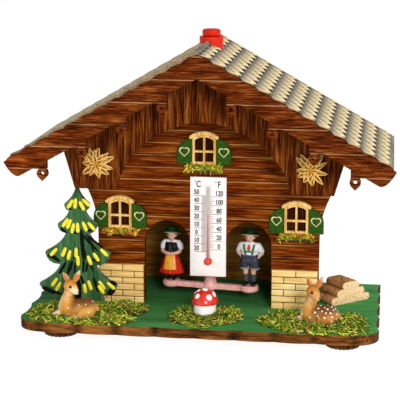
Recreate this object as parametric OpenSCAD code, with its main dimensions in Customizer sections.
// Weather house: a small chalet whose two figures turn on a gut strand as the air gets damp or dry.
// Millimetres, +Z up, front towards -Y, origin on the ground at the middle of the overall box.

/* [Base] */
// Width of the base plate over its scallops
base_w = 176.8; // [168:0.2:182]
// How far the base plate's middle stands to the right of the house's
base_off = -1.1; // [-2:0.1:2]
// Depth of the base plate, front edge to back edge
base_d = 92; // [88:0.5:95]
// Thickness of the base plate
base_t = 5; // [4:0.25:8]
// Radius of the two round front corners
corner_r = 11; // [7:0.5:14]
// Scallops along the front edge
front_scallops = 8; // [6:1:10]
// Scallops along each side edge
side_scallops = 4; // [3:1:6]
// How far a scallop bulges
scallop_bulge = 1; // [0.5:0.1:1.6]
// Diameter of a foot
foot_d = 16.5; // [12:0.5:18]
// Height of a foot
foot_h = 4; // [3:0.25:7]
// Foot centre to the side edge of the base
foot_side = 19.1; // [14:0.5:24]
// Foot centre to the front or back edge of the base
foot_inset = 14; // [11:0.5:20]
// Flutes round a foot
foot_flutes = 24; // [16:1:32]

/* [Roof] */
// Width of the roof across the bargeboard's tips
roof_w = 184.6; // [180:0.2:192]
// Depth of the roof, bargeboard front to back edge
roof_d = 96; // [94:0.5:100]
// Pitch of the roof in degrees
roof_pitch = 29.5; // [27:0.5:31]
// Height of the ridge above the base plate
ridge_h = 131.2; // [129:0.2:140]
// Thickness of a roof plate under the shingles
roof_t = 3; // [2.4:0.1:4]
// Rows of shingles on each slope
shingle_rows = 13; // [10:1:16]
// How far a row of shingles stands proud
shingle_lap = 0.9; // [0.5:0.1:1.2]
// Shingles side by side in a row
shingle_tongues = 8; // [6:1:12]
// Length of the notch between two shingle tips
notch_len = 3; // [2:0.1:4]
// Width of the notch between two shingle tips
notch_w = 5; // [3:0.1:7]
// Depth of a notch below the rows' valleys
notch_d = 0.15; // [0.1:0.05:0.3]
// How far the bargeboard runs past the roof's eave
eave_inset = 1.3; // [0.6:0.1:3]

/* [Bargeboard] */
// Thickness of the bargeboard
barge_t = 3; // [2.4:0.1:4]
// Width of the bargeboard across its slope
barge_w = 9.5; // [8:0.25:11]
// How far the bargeboard's ends are rounded below
tip_round = 4; // [2:0.5:8]
// Distance of the first step from the middle
step_first = 13.8; // [11:0.2:16]
// Distance from step to step
step_pitch = 19.2; // [17:0.1:20]
// Height of a step
step_rise = 3.8; // [3:0.1:4.6]
// Steps on each side
step_count = 4; // [3:1:4]
// Radius of a pendant ring
ring_r = 2.6; // [2.2:0.1:3]
// Radius of the hole in a ring
ring_hole_r = 1; // [0.7:0.1:1.3]

/* [Walls] */
// Width of the front wall over its piers
wall_w = 111.6; // [109:0.2:118]
// Thickness of the front wall
wall_t = 3.6; // [3:0.1:4.5]
// Bargeboard front to front wall face
porch_d = 42.4; // [40:0.2:46]
// Height where the wall starts to flare
flare_from = 36; // [33:0.5:40]
// Radius of the flare
flare_r = 50; // [44:1:60]
// Height where the flare ends and the arch board begins
flare_top = 62.3; // [60:0.1:64]
// Outward lean of the upper wall in degrees
upper_lean = 16; // [12:0.5:18]
// Width of one doorway
door_w = 23; // [21:0.2:24]
// Height of a doorway's crown
door_h = 43.2; // [41:0.2:45]
// Width of the pendant between the doorways
pendant_w = 18; // [17:0.2:19]
// Height of the pendant's lower end
pendant_h = 17; // [14.5:0.5:20]
// Thickness of the back wall
back_t = 3; // [2.4:0.1:4]
// Width across the side walls
house_w = 106; // [103:0.5:107]
// Thickness of a side wall
side_t = 3; // [2.4:0.1:4]
// Depth of the burnt panes sunk in the front wall
pane_sink = 0.8; // [0.5:0.1:1.2]

/* [Arch board] */
// Thickness of the arch board
arch_t = 3; // [2.4:0.1:4]
// Arch board front to front wall face
arch_set = 19; // [17:0.5:21]
// Span of the arch
arch_span = 84.4; // [80:0.2:90]
// Rise of the arch
arch_rise = 34; // [31:0.2:36]
// Fullness of the arch curve, 2 for an ellipse
arch_power = 1.75; // [1.6:0.05:2]

/* [Brick panels] */
// Width of a brick panel
brick_w = 22.8; // [21:0.2:23.2]
// Height of a brick panel
brick_h = 19.7; // [18:0.1:21]
// Thickness of a brick panel
brick_t = 1.4; // [1:0.1:2]
// Courses of bricks
brick_courses = 6; // [5:1:8]
// Width of an engraved joint
joint_w = 0.4; // [0.3:0.05:0.6]
// Depth of an engraved joint
joint_d = 0.3; // [0.2:0.05:0.5]

/* [Windows] */
// Distance of a pier window from the middle
window_x = 44.3; // [43:0.1:45]
// Height of a pier window's sill
window_z = 39; // [37:0.2:40]
// Place of the gable window, a little left of the middle
gable_x = -1.8; // [-3:0.1:0]
// Height of the gable window's sill
gable_z = 72.6; // [72:0.2:76]
// Width of a window frame
frame_w = 11.8; // [11:0.1:13]
// Thickness of a window frame
frame_t = 1.8; // [1.2:0.1:2.4]
// Height of a frame at its sides
frame_h = 12.6; // [12:0.1:13.5]
// Width of a frame's rails
rail_w = 1.2; // [1:0.05:1.5]
// Width of the glazing bars
bar_w = 1; // [0.7:0.05:1.2]
// Height of the crossbar above the sill
crossbar_z = 6.4; // [5.6:0.1:7]
// Width of a hood
hood_w = 14.6; // [14:0.1:16]
// Rise of a hood's outer curve
hood_rise = 2.7; // [2:0.1:3.2]
// Thickness of a hood's band
hood_band = 2; // [1.6:0.1:2.4]
// How far a hood stands out from the wall
hood_t = 3.2; // [2.6:0.1:4]
// Width of a shutter
shutter_w = 7.5; // [6.8:0.1:8]
// Thickness of a shutter
shutter_t = 1.6; // [1.2:0.1:2]
// Side of the square in a shutter's heart
heart_side = 3.1; // [2.4:0.1:3.4]
// Width of the heart's engraved line
heart_line = 0.65; // [0.45:0.05:0.8]
// Depth of the heart's engraved line
heart_depth = 0.3; // [0.2:0.05:0.5]
// Width of the flower strip under a window
flower_w = 18; // [15:0.5:20]
// Radius of the flower strip
flower_r = 3; // [2.4:0.1:3.6]

/* [Edelweiss] */
// Distance of an edelweiss from the middle
edelweiss_x = 52; // [50:0.2:54]
// Height of an edelweiss
edelweiss_z = 74.8; // [72:0.2:77]
// Outer petals
petal_count = 9; // [7:1:11]
// Length of an outer petal
petal_len = 8.2; // [7:0.1:9]
// Width of an outer petal
petal_w = 3.6; // [3:0.1:4]
// Thickness of one layer of petals
petal_t = 1; // [0.7:0.1:1.4]

/* [Thermometer] */
// Width of the card
card_w = 18; // [17:0.2:19]
// Thickness of the card
card_t = 1.8; // [1.8:0.1:2.4]
// Height of the card's lower edge
card_z = 15.5; // [14:0.1:17]
// Sideways place of the card
card_x = 0.4; // [0:0.1:0.6]
// Diameter of the glass tube
tube_d = 2.2; // [1.8:0.1:2.4]
// Diameter of the bulb
bulb_d = 4.2; // [3.8:0.1:4.4]
// Height of the bulb above the card's lower edge
bulb_z = 7.6; // [6:0.1:9]
// Length of the tube above the bulb
tube_len = 38.6; // [36:0.2:40]
// How far the tube's middle stands ahead of the card
tube_proud = 0.4; // [0.3:0.05:0.6]
// Thickness of the glass round the bulb
glass_t = 0.3; // [0.2:0.05:0.4]
// Diameter of the tube's bore
spirit_d = 0.9; // [0.6:0.05:1.1]
// Height of the spirit above the bulb
spirit_h = 23.6; // [16:0.2:34]

/* [Figures] */
// Front wall face to the axis that the figures turn on
axis_set = 11.5; // [11:0.1:14]
// Turn of the beam as it stands, in degrees
rest_turn = -8; // [-12:0.5:12]
// Distance of a figure from the axis
pad_x = 20.6; // [20:0.1:21.4]
// Diameter of a pad
pad_d = 9.4; // [9:0.1:10]
// Thickness of a pad
pad_t = 3.2; // [2.6:0.1:4]
// Height of the beam's underside
beam_lift = 5.6; // [4:0.1:7]
// Width of the beam's bar
beam_w = 4; // [3.4:0.1:5]
// Diameter of the hub
hub_d = 4.8; // [4.4:0.1:5.6]
// Diameter of the hub's flared foot
hub_foot_d = 7.6; // [6.6:0.1:8.6]
// Height of the hub above the pads
hub_h = 16; // [14:0.5:20]
// Height of the woman
woman_h = 27.2; // [25:0.1:28]
// Height of the man
man_h = 28.6; // [26:0.1:29.4]

/* [Adjuster] */
// Diameter of the chimney saddle
saddle_d = 11.8; // [10.5:0.1:13]
// Height of the saddle above the ridge
saddle_h = 3.4; // [2.8:0.1:4.5]
// Diameter of the knob
knob_d = 9.1; // [8:0.1:10]
// Height of the knob
knob_h = 3.6; // [3:0.1:5]
// Diameter of the stem
stem_d = 4; // [3.6:0.1:4.6]
// Diameter of the gut strand
gut_d = 0.8; // [0.6:0.05:1]
// Diameter of the ferrule on top of the strand
ferrule_d = 2.2; // [1.8:0.1:2.4]
// Height of the ferrule
ferrule_h = 1.6; // [1.2:0.1:1.8]
// Diameter of the plug that holds the strand in the hub
plug_d = 2.4; // [2:0.1:2.8]
// Length of the plug
plug_h = 6; // [4:0.5:8]
// Width of the ridge block
block_w = 18; // [14:0.5:24]
// Length of the ridge block
block_len = 16; // [12:0.5:22]
// Depth of the ridge block below the roof's peak
block_h = 9; // [8:0.25:12]
// Diameter of the stem's retainer
retainer_d = 9; // [7:0.5:11]
// Thickness of the retainer
retainer_t = 1.2; // [0.8:0.1:1.8]

/* [Garden] */
// Height of the fir tree
tree_h = 60.6; // [54:0.2:61]
// Width of the fir tree
tree_w = 40; // [36:0.5:42]
// Thickness of the fir tree
tree_t = 4; // [3:0.25:5]
// Fir tree's middle to the base's side edge
tree_side = 23.8; // [21.5:0.1:25]
// Fir tree's back to the front wall face
tree_set = 6; // [4:0.25:9]
// Length of a fawn
fawn_len = 24.5; // [22:0.25:26]
// Left fawn to the base's side edge
fawn_left_side = 26.6; // [24:0.25:28]
// Left fawn to the base's front edge
fawn_left_set = 11.5; // [10.5:0.25:13]
// Turn of the left fawn in degrees
fawn_left_turn = -6; // [-12:1:4]
// Right fawn to the base's side edge
fawn_right_side = 32.1; // [29:0.25:34]
// Right fawn to the base's front edge
fawn_right_set = 18; // [16:0.25:19]
// Turn of the right fawn in degrees
fawn_right_turn = -24; // [-30:1:-14]
// Height of the toadstool
toadstool_h = 13.2; // [11:0.1:14]
// Diameter of the toadstool's cap
toadstool_d = 13; // [11:0.1:14]
// Diameter of the toadstool's foot
stalk_d = 9.2; // [8:0.1:10]
// Toadstool to the base's front edge
toadstool_set = 25.5; // [22:0.25:27]
// Width of the log pile
log_w = 25; // [22:0.5:27]
// Length of the log pile
log_len = 13.5; // [11:0.5:16]
// Height of one layer of logs
log_t = 4; // [3.4:0.1:4.6]
// Layers of logs
log_layers = 3; // [2:1:3]
// Turn of the log pile in degrees
log_turn = 42; // [36:1:48]
// Gap between the log pile and the side wall
log_gap = 0.4; // [0.3:0.1:2]
// Log pile's middle behind the front wall face
log_set = 19.2; // [17:0.2:26]
// Height of a moss patch
moss_h = 3; // [2:0.25:4]
// Radius of a moss mound
moss_r = 14; // [12:0.5:15]

/* [Fits] */
// Gap between pieces glued or pressed together round a curve
glue_gap = 0.05; // [0.03:0.01:0.1]
// Radial gap of the stem in its bores and of the strand in the stem
run_gap = 0.08; // [0.04:0.01:0.1]
// Gap left under the knob's retainer
end_gap = 0.1; // [0.05:0.05:0.3]
// Gap between the moss and what stands in it
moss_gap = 0.3; // [0.2:0.05:0.6]

/* [Hidden] */
$fn = 64;

// Levels and planes that the pieces share
deck_z = foot_h + base_t;
front_y = -roof_d / 2;
back_y = roof_d / 2;
base_back = back_y - back_t;
base_front = base_back - base_d;
wall_y = front_y + porch_d;
arch_y = wall_y - arch_set;
tree_y = wall_y - tree_set - tree_t;
axis_y = wall_y + axis_set;
past = 1;

// Roof: distances along the slope run from the ridge
pitch_tan = tan(roof_pitch);
tip_len = roof_w / 2 / cos(roof_pitch);
slope_len = tip_len - eave_inset;
row_len = slope_len / shingle_rows;
row_points = 5;
lap_skew = 1.6;
peak_h = ridge_h - roof_t / cos(roof_pitch);

// Front wall: where the flare ends and where the leaning side meets the roof
flare_x = wall_w / 2 + flare_r - sqrt(pow(flare_r, 2) - pow(flare_top - flare_from, 2));
lean_tan = tan(upper_lean);
gable_corner_x = (flare_x + lean_tan * (peak_h - flare_top)) / (1 + lean_tan * pitch_tan);
pier_in = pendant_w / 2 + door_w;
door_x = pendant_w / 2 + door_w / 2;
door_r = door_w / 2;

// Windows: the hood's curve is concentric with the top of the frame
hood_r = (pow(hood_w / 2, 2) + pow(hood_rise, 2)) / (2 * hood_rise);
hood_in = hood_r - hood_band;
hood_mid = frame_h + glue_gap - sqrt(pow(hood_in, 2) - pow(frame_w / 2, 2));
hood_foot = hood_mid + hood_r - hood_rise - hood_band * 0.6;
shutter_gap = 0.15;
shutter_h = hood_foot - shutter_gap;

// Thermometer: the card ends just below the gable window's flowers
card_h = gable_z - 2 * flower_r - 3 * shutter_gap - card_z;

// Adjuster and strand levels above the base plate
saddle_top = ridge_h + saddle_h;
knob_top = saddle_top + knob_h;
knob_roof = 1;
stem_top = knob_top - knob_roof - glue_gap;
seat_z = stem_top - ferrule_h - end_gap;
block_z = peak_h - block_h;
block_front = wall_y + wall_t + glue_gap;
retainer_z = block_z - end_gap - retainer_t;
stem_tail = 1;
pad_top = beam_lift + pad_t;
hub_top = pad_top + hub_h;
plug_z = hub_top - plug_h;

// A right-hand outline listed from the bottom up, closed by its mirror image
function mirrored(side) = concat(side, [for (i = [len(side) - 1:-1:0]) [-side[i][0], side[i][1]]]);

// A quadratic curve from a to c that bends towards b, without its first point
function curve(a, b, c, steps) = [
    for (k = [1:steps]) let (t = k / steps) a * pow(1 - t, 2) + b * 2 * t * (1 - t) + c * t * t
];

// A point at distance s down the right-hand slope and n above it
function slope_point(s, n) = [
    s * cos(roof_pitch) + n * sin(roof_pitch),
    ridge_h - s * sin(roof_pitch) + n * cos(roof_pitch)
];

// The lapped rows from the ridge down to the eave: each row swells and drops at its tips
function lap_height(f) = shingle_lap * sin(180 * pow(f, lap_skew));
function lapped_slope() = [
    for (k = [1:shingle_rows * row_points])
        slope_point(k * row_len / row_points, lap_height((k / row_points) % 1))
];

// Scallops from a to b, bulging to the right of the way they run
function scallops(a, b, count, steps = 6) = let (
    run = b - a,
    out = [run[1], -run[0]] / norm(run)
) [
    for (k = [0:count * steps - 1]) let (t = (k % steps) / steps)
        a + run * k / (count * steps) + out * scallop_bulge * 4 * t * (1 - t)
];

function corner(centre, from, steps = 8) = [
    for (k = [0:steps]) let (a = from + 90 * k / steps) centre + corner_r * [cos(a), sin(a)]
];

// A board that stands in the X-Z plane, from y backwards
module board(y, t) {
    translate([0, y + t, deck_z])
        rotate([90, 0, 0])
            linear_extrude(t)
                children();
}

// A prism along Y from y0 to y1
module along_y(y0, y1) {
    board(y0, y1 - y0) children();
}

module on_axis(z) {
    translate([0, axis_y, deck_z + z]) children();
}

module turned() {
    translate([0, axis_y, deck_z]) rotate(rest_turn) children();
}

module base_outline() {
    x = base_w / 2 - scallop_bulge;
    f = base_front + scallop_bulge;
    polygon(concat(
        scallops([-x + corner_r, f], [x - corner_r, f], front_scallops),
        corner([x - corner_r, f + corner_r], -90),
        scallops([x, f + corner_r], [x, base_back], side_scallops),
        [[x, base_back]],
        scallops([-x, base_back], [-x, f + corner_r], side_scallops),
        corner([-x + corner_r, f + corner_r], 180)
    ));
}

module base_plate() {
    color("forestgreen")
        translate([0, 0, foot_h])
            linear_extrude(base_t)
                translate([base_off, 0])
                    base_outline();
}

module foot(side, end) {
    flute_d = foot_d * PI / foot_flutes / 2;
    y = end < 0 ? base_front + foot_inset : base_back - foot_inset;
    color("saddlebrown")
        translate([side * (base_w / 2 - foot_side), y, 0])
            linear_extrude(foot_h)
                difference() {
                    circle(d = foot_d);
                    for (k = [0:foot_flutes - 1])
                        rotate(360 * k / foot_flutes)
                            translate([foot_d / 2, 0])
                                circle(d = flute_d);
                }
}

// The flared side of the house from the ground to the roof's underside
function flare_side() = concat(
    [[wall_w / 2, 0], [wall_w / 2, flare_from]],
    [for (k = [1:6]) let (rise = (flare_top - flare_from) * k / 6)
        [wall_w / 2 + flare_r - sqrt(pow(flare_r, 2) - rise * rise), flare_from + rise]],
    upper_side(),
    [[0, peak_h]]
);

function upper_side() = [[gable_corner_x, peak_h - pitch_tan * gable_corner_x]];

module doorways() {
    spring = door_h - door_r;
    for (side = [-1, 1])
        translate([side * door_x, 0]) {
            translate([-door_r, -past])
                square([door_w, spring + past]);
            translate([0, spring])
                circle(r = door_r);
        }
    translate([-pier_in, -past])
        square([2 * pier_in, pendant_h + past]);
}

// The panes behind a window: the frame's opening without its bars
module pane_outline() {
    intersection() {
        translate([-frame_w / 2 + rail_w, rail_w])
            square([frame_w - 2 * rail_w, frame_h + hood_band]);
        translate([0, hood_mid])
            circle(r = hood_in - rail_w);
    }
}

module at_windows() {
    for (place = [[-window_x, window_z], [window_x, window_z], [gable_x, gable_z]])
        translate(place) children();
}

module front_wall() {
    color("sienna")
        difference() {
            board(wall_y, wall_t)
                difference() {
                    polygon(mirrored(flare_side()));
                    doorways();
                }
            board(wall_y - past, past + pane_sink)
                at_windows() pane_outline();
        }
}

module back_wall() {
    side = [
        [house_w / 2, -base_t],
        [house_w / 2, peak_h - pitch_tan * house_w / 2],
        [0, peak_h]
    ];
    color("peru")
        board(base_back, back_t)
            polygon(mirrored(side));
}

module side_wall(side) {
    outer = house_w / 2;
    inner = outer - side_t;
    color("sienna")
        along_y(wall_y + wall_t, base_back)
            polygon([for (p = [
                [inner, 0],
                [outer, 0],
                [outer, peak_h - pitch_tan * outer],
                [inner, peak_h - pitch_tan * inner]
            ]) [side * p[0], p[1]]]);
}

// A full arch between an ellipse and a pointed one, from the right foot over to the left
function arch_curve(steps = 28) = [
    for (k = [0:steps]) let (
        a = 180 * k / steps,
        c = pow(abs(cos(a)), 2 / arch_power),
        s = pow(sin(a), 2 / arch_power)
    ) [sign(cos(a)) * arch_span / 2 * c, flare_top + arch_rise * s]
];

module arch_board() {
    side = concat([[flare_x, flare_top]], upper_side());
    color("sienna")
        board(arch_y, arch_t)
            polygon(concat(
                side,
                [[0, peak_h]],
                [for (i = [len(side) - 1:-1:0]) [-side[i][0], side[i][1]]],
                [for (i = [len(arch_curve()) - 1:-1:0]) arch_curve()[i]]
            ));
}

function step_x(i) = step_first + step_pitch * i;
function barge_under(x) = ridge_h - barge_w / cos(roof_pitch) - pitch_tan * x;

// The stepped lower edge from the tip in to the middle
function barge_steps() = [
    for (i = [step_count - 1:-1:0]) each [
        [step_x(i) + step_rise / pitch_tan, barge_under(step_x(i)) - step_rise],
        [step_x(i), barge_under(step_x(i)) - step_rise],
        [step_x(i), barge_under(step_x(i))]
    ]
];

module pendant_ring() {
    point = ring_r / sqrt(2);
    difference() {
        union() {
            circle(r = ring_r);
            polygon([[-point, -point], [point, -point], [0, -2 * point]]);
        }
        circle(r = ring_hole_r);
    }
}

module bargeboard() {
    ring_sink = 0.4;
    outline = concat(
        barge_steps(),
        [[0, barge_under(0)]]
    );
    half = concat(
        [[0, ridge_h]],
        lapped_slope(),
        [slope_point(tip_len, 0)],
        curve(slope_point(tip_len, 0), slope_point(tip_len, -barge_w),
            slope_point(tip_len - tip_round, -barge_w), 8),
        outline
    );
    color("sienna")
        board(front_y, barge_t)
            union() {
                for (side = [0, 1])
                    mirror([side, 0])
                        union() {
                            polygon(half);
                            for (i = [0:step_count - 1])
                                translate([
                                    step_x(i) + ring_r - ring_sink,
                                    barge_under(step_x(i)) - step_rise - ring_r + ring_sink
                                ])
                                    pendant_ring();
                        }
            }
}

module stem_hole(d, z0, z1) {
    on_axis(z0)
        cylinder(d = d, h = z1 - z0);
}

// The V notches that give every row of shingles its pointed tips
module shingle_notches() {
    pitch = (roof_d - barge_t) / shingle_tongues;
    open = notch_d * 3;
    spread = notch_w / 2 * (1 + open / notch_len);
    translate([0, 0, deck_z + ridge_h])
        rotate([0, roof_pitch, 0])
            for (i = [1:shingle_rows], k = [0:shingle_tongues - 1])
                translate([i * row_len, front_y + barge_t + (k + 0.5) * pitch, -notch_d])
                    linear_extrude(notch_d + 2 * shingle_lap)
                        polygon([[-notch_len, 0], [open, -spread], [open, spread]]);
}

module roof_plate(side) {
    profile = concat(
        [[0, ridge_h]],
        lapped_slope(),
        [slope_point(slope_len, -roof_t), [0, peak_h]]
    );
    hole = stem_d + 4 * run_gap;
    color("tan")
        difference() {
            along_y(front_y + barge_t, back_y)
                polygon([for (p = profile) [side * p[0], p[1]]]);
            stem_hole(hole, peak_h - stem_d, saddle_top);
            mirror([side < 0 ? 1 : 0, 0, 0])
                shingle_notches();
        }
}

module ridge_block() {
    side = [
        [block_w / 2, block_z],
        [block_w / 2, peak_h - pitch_tan * block_w / 2],
        [0, peak_h]
    ];
    color("burlywood")
        difference() {
            along_y(block_front, block_front + block_len)
                polygon(mirrored(side));
            stem_hole(stem_d + 2 * run_gap, block_z - past, peak_h + past);
        }
}

module chimney_saddle() {
    notch_h = ridge_h + (shingle_lap + glue_gap) / cos(roof_pitch);
    reach = saddle_d;
    color("red")
        difference() {
            on_axis(notch_h - pitch_tan * saddle_d / 2)
                cylinder(d = saddle_d, h = saddle_top - notch_h + pitch_tan * saddle_d / 2);
            along_y(axis_y - reach, axis_y + reach)
                polygon([[0, notch_h], [reach, notch_h - pitch_tan * reach],
                    [-reach, notch_h - pitch_tan * reach]]);
            stem_hole(stem_d + 2 * run_gap, ridge_h, saddle_top + past);
        }
}

module adjuster_knob() {
    round_r = 1.2;
    r = knob_d / 2;
    rim = [for (k = [0:6]) let (a = 15 * k)
        [r - round_r + round_r * cos(a), knob_h - round_r + round_r * sin(a)]];
    color("red")
        difference() {
            on_axis(saddle_top)
                rotate_extrude()
                    polygon(concat([[0, 0], [r, 0]], rim, [[0, knob_h]]));
            stem_hole(stem_d + 2 * glue_gap, saddle_top - past, stem_top + glue_gap);
        }
}

module adjuster_stem() {
    bottom = retainer_z - stem_tail;
    color("goldenrod")
        difference() {
            stem_hole(stem_d, bottom, stem_top);
            stem_hole(gut_d + 2 * run_gap, bottom - past, stem_top + past);
            stem_hole(ferrule_d + 4 * run_gap, seat_z, stem_top + past);
        }
}

module stem_retainer() {
    color("silver")
        difference() {
            stem_hole(retainer_d, retainer_z, retainer_z + retainer_t);
            stem_hole(stem_d + 2 * glue_gap, retainer_z - past, retainer_z + retainer_t + past);
        }
}

module gut_strand() {
    color("wheat")
        stem_hole(gut_d, plug_z, seat_z + ferrule_h);
}

module gut_ferrule() {
    color("goldenrod")
        difference() {
            stem_hole(ferrule_d, seat_z, seat_z + ferrule_h);
            stem_hole(gut_d + 2 * glue_gap, seat_z - past, seat_z + ferrule_h + past);
        }
}

module gut_plug() {
    color("burlywood")
        difference() {
            stem_hole(plug_d, plug_z, hub_top);
            stem_hole(gut_d + 2 * glue_gap, plug_z - past, hub_top + past);
        }
}

// A round pad with broken edges
module pad() {
    r = pad_d / 2;
    edge = pad_t / 4;
    translate([0, 0, beam_lift])
        rotate_extrude()
            polygon([[0, 0], [r - edge, 0], [r, edge], [r, pad_t - edge], [r - edge, pad_t], [0, pad_t]]);
}

module figure_beam() {
    bar_t = pad_t - 0.6;
    edge = bar_t / 4;
    bar_z = beam_lift + 0.2;
    flare_h = hub_h / 2;
    flare_steps = 6;
    flare = [for (k = [0:flare_steps]) let (t = k / flare_steps)
        [hub_d / 2 + (hub_foot_d - hub_d) / 2 * pow(1 - t, 2), pad_top - pad_t / 2 + flare_h * t]];
    half_w = beam_w / 2;
    color("rosybrown")
        turned()
            difference() {
                union() {
                    for (side = [-1, 1])
                        translate([side * pad_x, 0, 0])
                            pad();
                    translate([-pad_x, 0, bar_z])
                        rotate([90, 0, 90])
                            linear_extrude(2 * pad_x)
                                polygon([[-half_w, 0], [half_w, 0], [half_w, bar_t - edge],
                                    [half_w - edge, bar_t], [edge - half_w, bar_t], [-half_w, bar_t - edge]]);
                    rotate_extrude()
                        polygon(concat([[0, beam_lift]], [[hub_foot_d / 2, beam_lift]], flare,
                            [[hub_d / 2, hub_top], [0, hub_top]]));
                }
                translate([0, 0, plug_z])
                    cylinder(d = plug_d + 2 * glue_gap, h = plug_h + past);
            }
}

// A limb or a muscle: the hull of balls given as [x, y, z, radius]
module limb(balls) {
    hull()
        for (b = balls)
            translate([b[0], b[1], b[2]])
                sphere(r = b[3], $fn = 14);
}

module pair(balls) {
    for (side = [-1, 1])
        limb([for (b = balls) [side * b[0], b[1], b[2], b[3]]]);
}

// A round hat: a flat brim and a crown that tapers to a soft top
module hat(z, brim, crown, h) {
    translate([0, 0, z])
        cylinder(r = brim, h = 0.7, $fn = 28);
    translate([0, 0, z])
        rotate_extrude($fn = 28)
            polygon([[0, 0], [crown, 0], [crown * 0.92, h * 0.6], [crown * 0.7, h * 0.92], [0, h]]);
}

// What stands on a pad is cut flat at the pad's top
module above_ground(reach) {
    intersection() {
        union() children();
        translate([-reach, -reach, 0])
            cube([2 * reach, 2 * reach, 2 * reach]);
    }
}

module on_pad(side, h, drawn_h) {
    turned()
        translate([side * pad_x, 0, pad_top])
            scale(h / drawn_h)
                above_ground(drawn_h)
                    children();
}

module woman() {
    drawn_h = 27.2;
    color("firebrick")
        on_pad(-1, woman_h, drawn_h) {
            pair([[1.5, -1.4, 0.8, 1], [1.4, 0.6, 0.9, 1.1]]);
            pair([[1.4, 0.4, 1, 1.1], [1.4, 0.3, 5, 1.3]]);
            translate([0, 0, 2.6])
                scale([1, 0.74, 1])
                    rotate_extrude($fn = 28)
                        polygon([[0, 0], [6.3, 0], [6, 1.8], [4.9, 5.6], [3.6, 9], [2.9, 11], [0, 11]]);
            limb([[-1.6, 0, 13.4, 1.9], [1.6, 0, 13.4, 1.9], [-2.7, 0, 17.6, 1.9], [2.7, 0, 17.6, 1.9]]);
            pair([[3.7, 0, 18, 1.8], [5, -0.3, 14.9, 1.3]]);
            pair([[5, -0.3, 14.9, 1.3], [1.2, -3, 13.4, 1.05]]);
            limb([[0, 0, 18, 1.5], [0, -0.3, 21.4, 2.3]]);
            limb([[0, -0.3, 21.6, 2.4], [0, -0.9, 20.6, 1.7]]);
            hat(23, 4.3, 3.1, 4.2);
        }
}

module man() {
    drawn_h = 28.6;
    color("darkslategray")
        on_pad(1, man_h, drawn_h) {
            pair([[1.9, -1.7, 0.8, 1.05], [1.7, 0.6, 1, 1.15]]);
            pair([[1.7, 0.4, 1.2, 1.2], [1.8, 0.3, 6.4, 1.5]]);
            pair([[1.8, 0.3, 6.4, 1.4], [1.9, 0.2, 9.6, 1.6]]);
            limb([[-2.8, 0, 9.8, 2], [2.8, 0, 9.8, 2], [-2.2, 0.1, 14.6, 2.3], [2.2, 0.1, 14.6, 2.3]]);
            limb([[-2.2, 0.1, 14.6, 2.3], [2.2, 0.1, 14.6, 2.3], [-3.3, 0, 19.4, 2], [3.3, 0, 19.4, 2]]);
            pair([[4.3, 0.1, 19.8, 1.8], [6, 0.8, 16.4, 1.3]]);
            pair([[6, 0.8, 16.4, 1.3], [3.6, 2, 13.8, 1.1]]);
            limb([[0, 0, 19.8, 1.7], [0, -0.3, 22.8, 2.3]]);
            limb([[0, -0.3, 23.2, 2.45], [0, -0.9, 22.2, 1.8]]);
            hat(24.6, 4.3, 3.1, 4);
        }
}

// The tube's middle, ahead of the card's face
module at_bulb() {
    translate([card_x, wall_y - card_t - tube_proud, deck_z + card_z + bulb_z])
        children();
}

module tube_space(gap) {
    at_bulb() {
        cylinder(d = tube_d + 2 * gap, h = tube_len + gap);
        sphere(d = bulb_d + 2 * gap);
    }
}

module thermometer_card() {
    color("white")
        difference() {
            board(wall_y - card_t, card_t)
                translate([card_x - card_w / 2, card_z])
                    square([card_w, card_h]);
            tube_space(glue_gap);
        }
}

module spirit_space(gap, h) {
    at_bulb() {
        cylinder(d = spirit_d - 2 * gap, h = h);
        sphere(d = bulb_d - 2 * glass_t - 2 * gap);
    }
}

module thermometer_tube() {
    cap = 1;
    color("lightcyan")
        difference() {
            tube_space(0);
            spirit_space(0, tube_len - cap);
        }
}

module thermometer_spirit() {
    color("crimson")
        spirit_space(glue_gap, spirit_h);
}

module brick_panel(side) {
    course = brick_h / brick_courses;
    brick = brick_w / 1.9;
    color("burlywood")
        difference() {
            board(wall_y - brick_t, brick_t)
                translate([side * (pier_in + wall_w / 2) / 2 - brick_w / 2, 0])
                    square([brick_w, brick_h]);
            board(wall_y - brick_t - past, past + joint_d)
                translate([side * (pier_in + wall_w / 2) / 2 - brick_w / 2, 0]) {
                    for (i = [1:brick_courses - 1])
                        translate([-past, i * course - joint_w / 2])
                            square([brick_w + 2 * past, joint_w]);
                    for (i = [0:brick_courses - 1], k = [0:2])
                        let (x = brick * (k + (i % 2 == 0 ? 0.5 : 1)))
                            if (x < brick_w - joint_w)
                                translate([x - joint_w / 2, i * course - joint_w / 4])
                                    square([joint_w, course + joint_w / 2]);
                }
        }
}

module frame_outline() {
    intersection() {
        translate([-frame_w / 2, 0])
            square([frame_w, frame_h + hood_band]);
        translate([0, hood_mid])
            circle(r = hood_in - glue_gap);
    }
}

module glazing_bars() {
    translate([-bar_w / 2, rail_w / 2])
        square([bar_w, frame_h + hood_band]);
    translate([-frame_w / 2, crossbar_z - bar_w / 2])
        square([frame_w, bar_w]);
}

module window_frame(x, z) {
    color("wheat")
        board(wall_y - frame_t, frame_t)
            translate([x, z])
                difference() {
                    frame_outline();
                    difference() {
                        pane_outline();
                        glazing_bars();
                    }
                }
}

module window_hood(x, z) {
    color("burlywood")
        board(wall_y - hood_t, hood_t)
            translate([x, z])
                intersection() {
                    difference() {
                        translate([0, hood_mid])
                            circle(r = hood_r);
                        translate([0, hood_mid])
                            circle(r = hood_in);
                    }
                    translate([-hood_w / 2, hood_foot])
                        square([hood_w, 2 * hood_r]);
                }
}

// A heart on its point, made of a square on its corner and two circles
module heart(a) {
    rotate(45)
        square(a);
    for (side = [-1, 1])
        translate([side * a / sqrt(8), a * 3 / sqrt(8)])
            circle(d = a);
}

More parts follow.
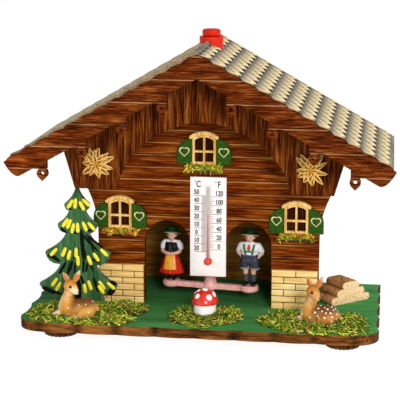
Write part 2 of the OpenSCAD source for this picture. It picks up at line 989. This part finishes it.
// A shutter's outline, hinged at the left and round at its outer top corner
module shutter_outline() {
    square([shutter_w, shutter_h - shutter_w]);
    intersection() {
        translate([0, shutter_h - shutter_w])
            circle(r = shutter_w);
        translate([0, shutter_h - shutter_w - past])
            square([shutter_w, shutter_w + past]);
    }
}

module heart_line_outline() {
    inner = 1 - 2 * heart_line / (heart_side * (1 + 1 / sqrt(2)));
    middle = heart_side * 0.8;
    translate([shutter_w / 2, shutter_h * 0.47 - middle])
        difference() {
            heart(heart_side);
            translate([0, middle])
                scale(inner)
                    translate([0, -middle])
                        heart(heart_side);
        }
}

module shutter(x, z, side) {
    hinge = x + side * (frame_w / 2 + shutter_gap);
    color("darkgreen")
        difference() {
            board(wall_y - shutter_t, shutter_t)
                translate([hinge, z])
                    mirror([side < 0 ? 1 : 0, 0])
                        shutter_outline();
            board(wall_y - shutter_t - past, past + heart_depth)
                translate([hinge, z])
                    mirror([side < 0 ? 1 : 0, 0])
                        heart_line_outline();
        }
}

// A low cushion of dried flowers glued under the sill
module flowers(x, z) {
    color("olivedrab")
        translate([x - flower_w / 2, wall_y, deck_z + z - flower_r - shutter_gap])
            intersection() {
                rotate([0, 90, 0])
                    cylinder(r = flower_r, h = flower_w);
                translate([0, -flower_r, -flower_r])
                    cube([flower_w, flower_r, 2 * flower_r]);
            }
}

// A leaf-shaped petal from the middle outwards, where two circles overlap
module petal(len, w) {
    r = (pow(len, 2) + pow(w, 2)) / (4 * w);
    intersection_for (side = [-1, 1])
        translate([len / 2, side * (r - w / 2)])
            circle(r = r);
}

// A ring of petals on a round heart
module petals(count, len, w) {
    circle(r = w * 0.7);
    for (k = [0:count - 1])
        rotate(90 + 360 * k / count)
            petal(len, w);
}

module edelweiss(side) {
    inner_count = petal_count - 2;
    bead_r = petal_t * 0.75;
    bead_ring = petal_w * 0.45;
    color("goldenrod")
        translate([side * edelweiss_x, arch_y, deck_z + edelweiss_z])
            rotate([90, 0, 0]) {
                linear_extrude(petal_t)
                    petals(petal_count, petal_len, petal_w);
                linear_extrude(2 * petal_t)
                    rotate(180)
                        petals(inner_count, petal_len * 0.66, petal_w * 0.85);
                translate([0, 0, 2 * petal_t])
                    sphere(r = bead_r);
                for (k = [0:4])
                    rotate(72 * k)
                        translate([bead_ring, 0, 2 * petal_t])
                            sphere(r = bead_r);
            }
}

// Fir tree: tips and necks of its tiers as shares of half the width and of the height
tier_tips = [[1, 0.175], [0.83, 0.45], [0.5, 0.69], [0.32, 0.86]];
tier_necks = [[0.58, 0.11], [0.45, 0.345], [0.285, 0.615], [0.2, 0.805]];
tree_foot = 0.7;

function tree_point(share) = [share[0] * tree_w / 2, share[1] * tree_h];

// One tier: out along its drooping underside to the tip, then up in a hollow sweep
function tier(i) = let (
    neck = tree_point(tier_necks[i]),
    tip = tree_point(tier_tips[i]),
    next = tree_point(i < 3 ? tier_necks[i + 1] : [0.02, 1]),
    under = [tip[0] * 0.9 + neck[0] * 0.1, neck[1]],
    sweep = [next[0] * 0.8 + tip[0] * 0.2, tip[1] * 0.55 + next[1] * 0.45]
) concat([neck], curve(neck, under, tip, 4), curve(tip, sweep, next, i < 3 ? 6 : 4));

module fir_tree() {
    side = concat([[tree_foot * tree_w / 2, 0]], [for (i = [0:3]) each tier(i)]);
    color("seagreen")
        board(tree_y, tree_t)
            translate([tree_side - base_w / 2, 0])
                polygon(mirrored(side));
}

// A fawn at rest, drawn with its chest to the left and its head turned to the front
module fawn_form() {
    limb([[-3.5, 0, 4.6, 5], [6.2, 0.4, 4.9, 5.4]]);
    limb([[7.2, -2.6, 3.8, 4], [2.5, -4.4, 2.2, 2.4]]);
    limb([[2.5, -4.8, 1.2, 1.3], [-1.5, -5.4, 0.9, 1]]);
    limb([[-5, -0.3, 5.2, 4.4], [-4.7, -0.4, 9, 3.5]]);
    limb([[-4.7, -0.4, 9, 3.4], [-4.3, -0.8, 15, 2.5]]);
    limb([[-4.2, -1, 16.9, 2.9], [-1.5, -2, 15.6, 2.1]]);
    limb([[-1.5, -2, 15.6, 2.1], [1.2, -3, 14.3, 1.35]]);
    limb([[-5.3, -0.4, 18.6, 0.8], [-6.5, 0.2, 21.2, 1.1], [-7, 0.5, 23.4, 0.4]]);
    limb([[-2.8, -0.6, 18.8, 0.8], [-1.9, 0, 21.4, 1.1], [-0.9, 0.4, 23.7, 0.4]]);
    limb([[-7.4, -2.6, 2, 1.7], [-10.6, -3, 1.1, 1.2]]);
    limb([[-7.4, 2.2, 2, 1.6], [-10.4, 2.4, 1.1, 1.1]]);
    limb([[10.6, 0.6, 5.4, 1.2], [11.8, 0.6, 3.6, 0.7]]);
}

fawn_drawn_len = 24.3;
fawn_drawn_w = 13.4;

module at_fawn(side) {
    x = side < 0 ? fawn_left_side - base_w / 2 : base_w / 2 - fawn_right_side;
    y = base_front + (side < 0 ? fawn_left_set : fawn_right_set);
    translate([x, y, deck_z])
        rotate(side < 0 ? fawn_left_turn : fawn_right_turn)
            scale(fawn_len / fawn_drawn_len)
                children();
}

module fawn(side) {
    color("chocolate")
        at_fawn(side)
            above_ground(fawn_len)
                fawn_form();
}

// The room that a fawn takes on the base
module fawn_room(side) {
    at_fawn(side)
        translate([0, -0.4, -past])
            linear_extrude(moss_h * 2) {
                room_r = fawn_drawn_w / 2 + moss_gap;
                straight = fawn_drawn_len / 2 + 0.4 + moss_gap - room_r;
                square([2 * straight, 2 * room_r], center = true);
                for (end = [-1, 1])
                    translate([end * straight, 0])
                        circle(r = room_r);
            }
}

module at_toadstool() {
    translate([card_x, base_front + toadstool_set, deck_z])
        children();
}

module toadstool() {
    stalk = [[1, 0], [0.94, 0.12], [0.78, 0.32], [0.74, 0.6]];
    gill_z = 0.46 * toadstool_h;
    lean = 5;
    dome = [for (k = [0:10]) let (a = 9 * k)
        [toadstool_d / 2 * cos(a), (toadstool_h - gill_z) * sin(a)]];
    color("red")
        at_toadstool() {
            rotate_extrude()
                polygon(concat(
                    [[0, 0]],
                    [for (p = stalk) [p[0] * stalk_d / 2, p[1] * toadstool_h]],
                    [[0, 0.6 * toadstool_h]]
                ));
            translate([0, 0, gill_z])
                rotate([0, -lean, 0])
                    rotate_extrude()
                        polygon(concat([[0, 0.4]], dome));
        }
}

// Stacked logs: each layer is shorter than the one below and round at both ends
module log_pile() {
    log_r = log_t / 2;
    layer_in = log_w / (2 * log_layers + 1);
    reach = log_w / 2 * cos(log_turn) + log_len / 2 * sin(log_turn);
    color("tan")
        translate([house_w / 2 + log_gap + reach, wall_y + log_set, deck_z])
            rotate([90, 0, log_turn])
                linear_extrude(log_len, center = true)
                    intersection() {
                        for (i = [0:log_layers - 1])
                            let (half = log_w / 2 - i * layer_in - log_r)
                                translate([0, log_r + i * log_t * 0.9]) {
                                    square([2 * half, log_t], center = true);
                                    for (end = [-1, 1])
                                        translate([end * half, 0])
                                            circle(r = log_r);
                                }
                        translate([-log_w, 0])
                            square([2 * log_w, log_w]);
                    }
}

// A low mound of moss: the caps of large balls
module mounds(places) {
    for (p = places)
        let (r = p[2], ball = (r * r + moss_h * moss_h) / (2 * moss_h))
            translate([p[0], p[1], deck_z])
                intersection() {
                    translate([0, 0, moss_h - ball])
                        sphere(r = ball, $fn = 240);
                    translate([-r, -r, 0])
                        cube([2 * r, 2 * r, moss_h]);
                }
}

// What the moss stays clear of behind it: the front wall and its brick panels
module house_room() {
    translate([-base_w, wall_y - brick_t - moss_gap, deck_z - past])
        cube([2 * base_w, base_d, 2 * moss_h]);
}

// The room that the tree's foot takes
module tree_room() {
    half = tree_foot * tree_w / 2 + moss_gap;
    translate([tree_side - base_w / 2 - half, tree_y - moss_gap, deck_z - past])
        cube([2 * half, tree_t + 2 * moss_gap, 2 * moss_h]);
}

module moss_left() {
    x = fawn_left_side - base_w / 2;
    y = base_front + fawn_left_set;
    color("yellowgreen")
        difference() {
            mounds([
                [x - 0.65 * moss_r, tree_y - 0.98 * moss_r, moss_r],
                [x + 0.57 * moss_r, y + 0.36 * moss_r, 1.1 * moss_r],
                [x + 1.5 * moss_r, wall_y - 1.2 * moss_r, 0.86 * moss_r]
            ]);
            fawn_room(-1);
            tree_room();
            house_room();
        }
}

module moss_middle() {
    y = base_front + toadstool_set;
    color("yellowgreen")
        difference() {
            mounds([
                [card_x - 0.3 * moss_r, y - 0.43 * moss_r, moss_r],
                [card_x + 0.57 * moss_r, y - 0.29 * moss_r, 0.93 * moss_r]
            ]);
            at_toadstool()
                translate([0, 0, -past])
                    cylinder(d = stalk_d + 2 * moss_gap, h = 2 * moss_h);
            house_room();
        }
}

module moss_right() {
    x = base_w / 2 - fawn_right_side;
    y = base_front + fawn_right_set;
    color("yellowgreen")
        difference() {
            mounds([
                [x - moss_r, y, 0.96 * moss_r],
                [x + 0.43 * moss_r, y - 0.14 * moss_r, 1.07 * moss_r],
                [x + 1.14 * moss_r, y + 0.14 * moss_r, 0.64 * moss_r]
            ]);
            fawn_room(1);
            house_room();
        }
}

base_plate();
foot(-1, -1);  // foot_front_left
foot(1, -1);  // foot_front_right
foot(-1, 1);  // foot_back_left
foot(1, 1);  // foot_back_right
front_wall();
back_wall();
side_wall(-1);  // side_wall_left
side_wall(1);  // side_wall_right
arch_board();
bargeboard();
roof_plate(-1);  // roof_left
roof_plate(1);  // roof_right
ridge_block();
chimney_saddle();
adjuster_knob();
adjuster_stem();
stem_retainer();
gut_strand();
gut_ferrule();
gut_plug();
figure_beam();
woman();
man();
thermometer_card();
thermometer_tube();
thermometer_spirit();
brick_panel(-1);  // brick_panel_left
brick_panel(1);  // brick_panel_right
window_frame(-window_x, window_z);  // window_frame_left
window_frame(window_x, window_z);  // window_frame_right
window_frame(gable_x, gable_z);  // window_frame_gable
window_hood(-window_x, window_z);  // window_hood_left
window_hood(window_x, window_z);  // window_hood_right
window_hood(gable_x, gable_z);  // window_hood_gable
shutter(-window_x, window_z, -1);  // shutter_left_outer
shutter(-window_x, window_z, 1);  // shutter_left_inner
shutter(window_x, window_z, -1);  // shutter_right_inner
shutter(window_x, window_z, 1);  // shutter_right_outer
shutter(gable_x, gable_z, -1);  // shutter_gable_left
shutter(gable_x, gable_z, 1);  // shutter_gable_right
flowers(-window_x, window_z);  // flowers_left
flowers(window_x, window_z);  // flowers_right
flowers(gable_x, gable_z);  // flowers_gable
edelweiss(-1);  // edelweiss_left
edelweiss(1);  // edelweiss_right
fir_tree();
fawn(-1);  // fawn_left
fawn(1);  // fawn_right
toadstool();
log_pile();
moss_left();
moss_middle();
moss_right();
